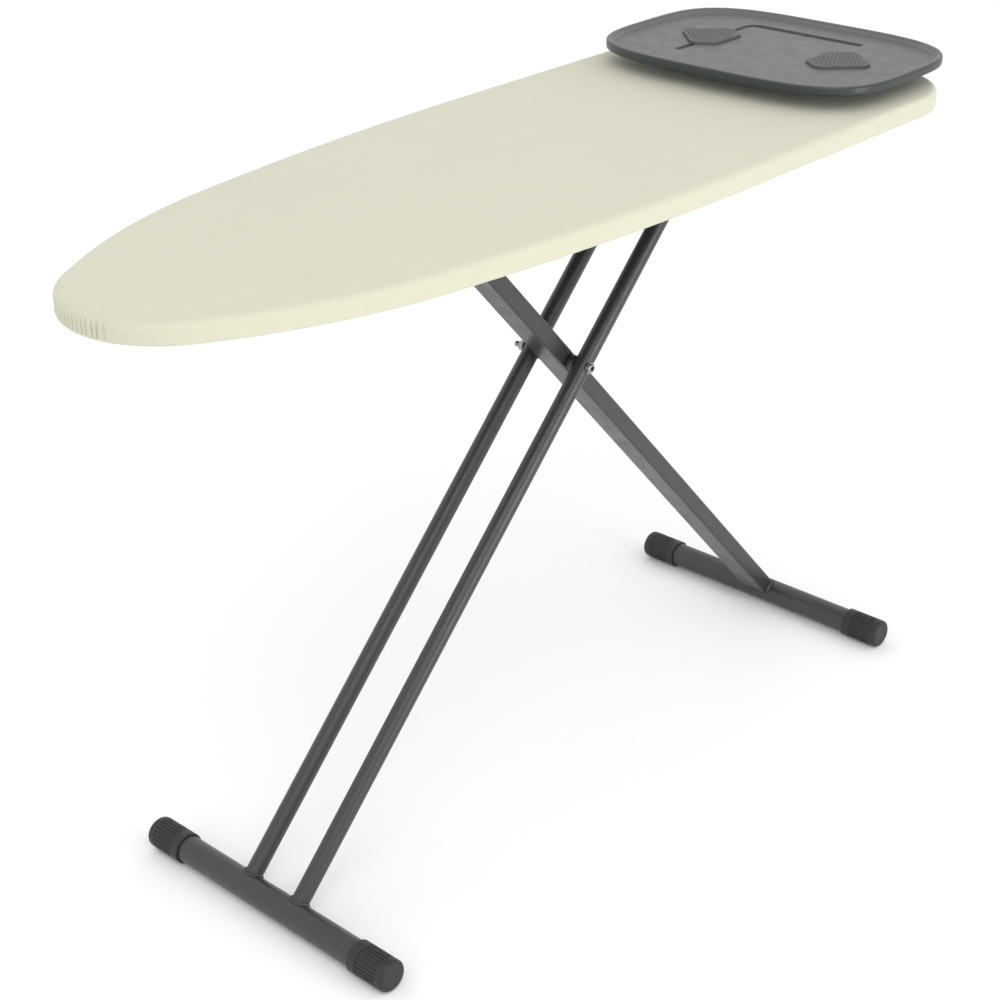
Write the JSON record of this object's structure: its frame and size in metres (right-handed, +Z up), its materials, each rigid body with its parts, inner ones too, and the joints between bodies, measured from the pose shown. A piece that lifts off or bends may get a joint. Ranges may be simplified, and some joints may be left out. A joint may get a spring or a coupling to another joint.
{
  "type": "ironing board",
  "caption": "Full-size folding ironing board: padded fabric top with a round nose, iron tray at the tail, and crossed tube legs on two foot bars with ribbed caps.",
  "frame": {"origin": "middle of the overall length and width, on the floor under the feet", "axes": "+X from the nose to the tail, +Y to the left side, +Z up"},
  "size_m": [1.37, 0.498, 0.924],
  "materials": {
    "frame_paint": "dark grey powder coat with a soft satin sheen",
    "cover_fabric": "taut cream cotton weave with a faint sheen",
    "felt": "soft felt",
    "elastic": "woven elastic",
    "tray_plastic": "fine moulded texture, dark grey",
    "silicone": "matte silicone with raised dots",
    "black_plastic": "moulded black",
    "cap_rubber": "ribbed dark rubbery plastic",
    "zinc_steel": "zinc plated",
    "nylon": "natural nylon"
  },
  "bodies": {
    "board": {"top_sheet": "zinc_steel", "rim_nose": "frame_paint", "rim_left": "frame_paint", "rim_right": "frame_paint", "rim_tail": "frame_paint", "cross_rib_nose": "frame_paint", "cross_rib_tail": "frame_paint", "felt_pad": "felt", "cover": "cover_fabric", "hem_elastic": "elastic", "slide_rail_left": "frame_paint", "slide_rail_right": "frame_paint", "hinge_bracket_left": "frame_paint", "hinge_bracket_right": "frame_paint", "hinge_pins": "zinc_steel", "frame_rivets": "zinc_steel", "tray_shell": "tray_plastic", "rest_pad_left": "silicone", "rest_pad_right": "silicone", "tray_arm_left": "frame_paint", "tray_arm_right": "frame_paint", "tray_screws": "zinc_steel", "arm_bolts": "zinc_steel", "latch_mounts": "frame_paint", "latch_axle": "zinc_steel", "latch_spring": "zinc_steel"},
    "front_leg": {"leg_tube_left": "frame_paint", "leg_tube_right": "frame_paint", "leg_plugs": "black_plastic", "front_foot_bar": "frame_paint", "front_welds": "frame_paint", "front_cap_left": "cap_rubber", "front_cap_right": "cap_rubber", "pivot_bolt": "zinc_steel", "pivot_nut": "zinc_steel", "pivot_washers": "zinc_steel", "pivot_spacers": "black_plastic"},
    "rear_leg": {"pivot_bush": "nylon", "rear_leg_tube": "frame_paint", "rear_plug": "black_plastic", "rear_foot_bar": "frame_paint", "rear_welds": "frame_paint", "rear_cap_left": "cap_rubber", "rear_cap_right": "cap_rubber", "slide_rod": "zinc_steel", "rod_caps": "black_plastic"},
    "latch": {"latch_plate": "zinc_steel", "latch_pad": "black_plastic", "latch_grip": "black_plastic"}
  },
  "joints": [
    {"name": "leg_fold", "type": "hinge", "parent": "board", "child": "front_leg", "pos_m": [0.30318, 0, 0.838], "axis": [0, 1, 0], "range_deg": [0, 45]},
    {"name": "rear_fold", "type": "hinge", "parent": "front_leg", "child": "rear_leg", "pos_m": [0.06294, 0, 0.59438], "axis": [0, 1, 0], "range_deg": [-90.2, 0]},
    {"name": "latch_release", "type": "hinge", "parent": "board", "child": "latch", "pos_m": [-0.26947, -0.112, 0.863], "axis": [1, 0, 0], "range_deg": [0, 6], "stiffness_Nm_per_rad": 0.8, "springref_deg": -20.05}
  ],
  "couplings": [
    {"joint": "rear_fold", "follows": "leg_fold", "ratio": -2.003}
  ]
}
